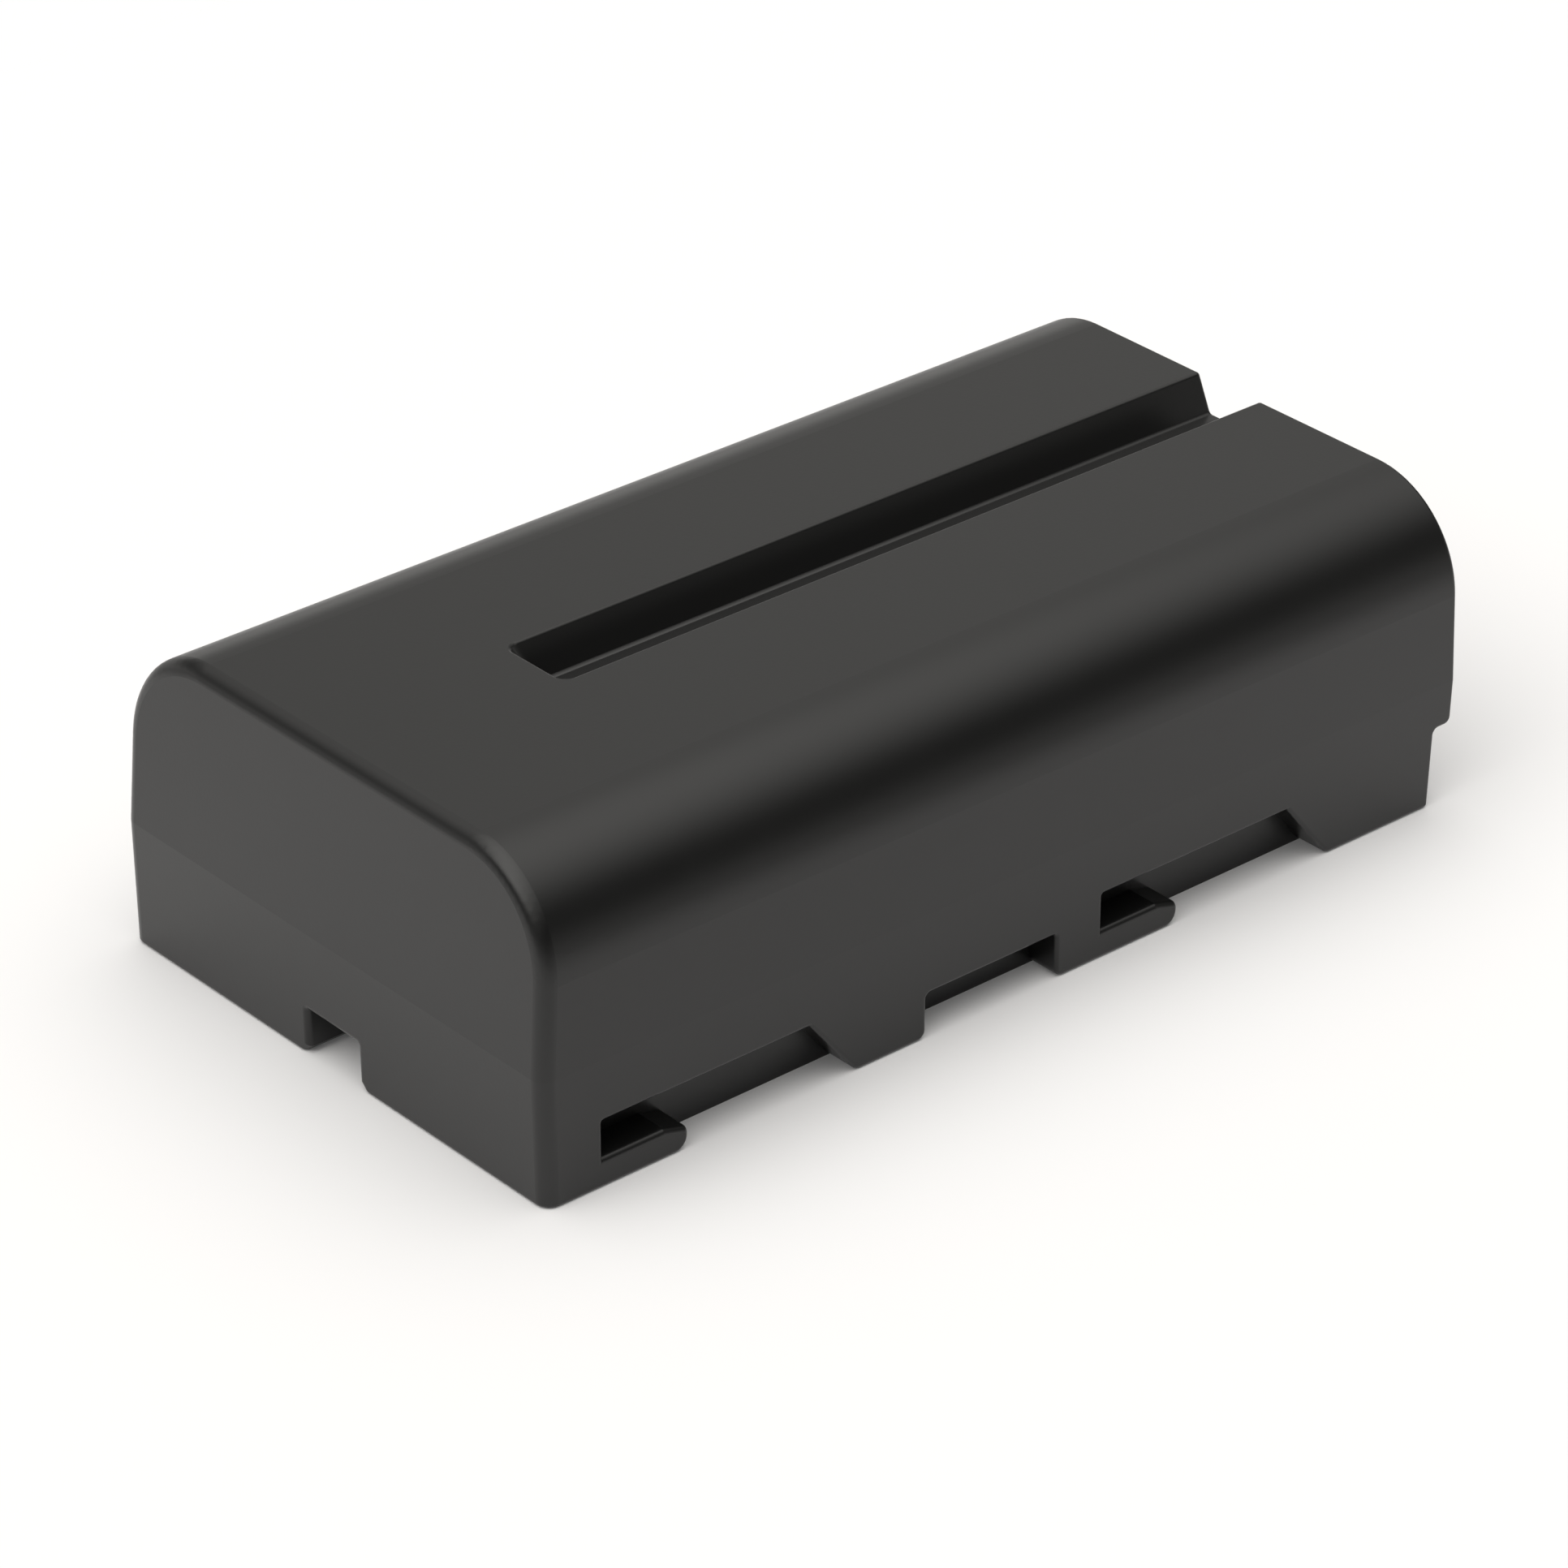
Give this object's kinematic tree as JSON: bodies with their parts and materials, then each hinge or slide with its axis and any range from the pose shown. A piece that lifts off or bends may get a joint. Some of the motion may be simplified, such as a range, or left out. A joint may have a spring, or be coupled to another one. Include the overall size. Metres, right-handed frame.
{
  "type": "lithium-ion battery pack",
  "caption": "Slim block battery pack with rounded long edges, a finger groove in its top, hook rails along its sides, a latch notch and slotted end terminals.",
  "frame": {"origin": "centre of the mounting face, at the middle of the case's width and length", "axes": "+Y along the length towards the terminal end, with the latch notch at -Y; +Z from the mounting face up to the grooved cover; +X across the width, on the side of the positive terminal"},
  "size_m": [0.0384, 0.0708, 0.0206],
  "materials": {
    "tray_plastic": "dark grey moulded plastic with a fine satin grain",
    "cover_plastic": "dark grey moulded plastic with a fine satin grain, softly shiny",
    "cell_can": "nickel-plated deep-drawn steel",
    "cell_sleeve_film": "thin glossy shrink film",
    "ring_paper": "pale fibre ring",
    "adhesive_film": "double-sided adhesive film",
    "nickel_strip": "rolled nickel strip",
    "lead_insulation": "soft coloured lead insulation",
    "insulating_sheet": "pressed insulating fibre sheet",
    "board_laminate": "glass-fibre laminate under green solder resist",
    "sensor_resin": "dipped resin bead",
    "foam": "closed-cell foam",
    "contact_plating": "gold-plated spring brass",
    "chip_package": "black moulded resin with tinned leads",
    "chip_body_ceramic": "ceramic chip with tinned end caps",
    "capacitor_ceramic": "tan ceramic chip with tinned end caps"
  },
  "bodies": {
    "root": {"base_tray": "tray_plastic", "top_cover": "cover_plastic", "cell_left": "cell_can", "cell_right": "cell_can", "cell_sleeve_left": "cell_sleeve_film", "cell_sleeve_right": "cell_sleeve_film", "insulator_ring_left": "ring_paper", "insulator_ring_right": "ring_paper", "adhesive_strip_left": "adhesive_film", "adhesive_strip_right": "adhesive_film", "series_link_strip": "nickel_strip", "positive_tab": "nickel_strip", "negative_tab": "nickel_strip", "midpoint_lead": "lead_insulation", "rear_insulator_sheet": "insulating_sheet", "board_insulator_sheet": "insulating_sheet", "protection_board": "board_laminate", "thermistor": "sensor_resin", "foam_pad": "foam", "contact_negative": "contact_plating", "contact_data": "contact_plating", "contact_positive": "contact_plating", "charge_gauge_chip": "chip_package", "protection_chip": "chip_package", "switch_chip_inner": "chip_package", "switch_chip_outer": "chip_package", "sense_resistor": "chip_body_ceramic", "chip_fuse": "chip_body_ceramic", "chip_capacitor": "capacitor_ceramic"}
  },
  "joints": []
}
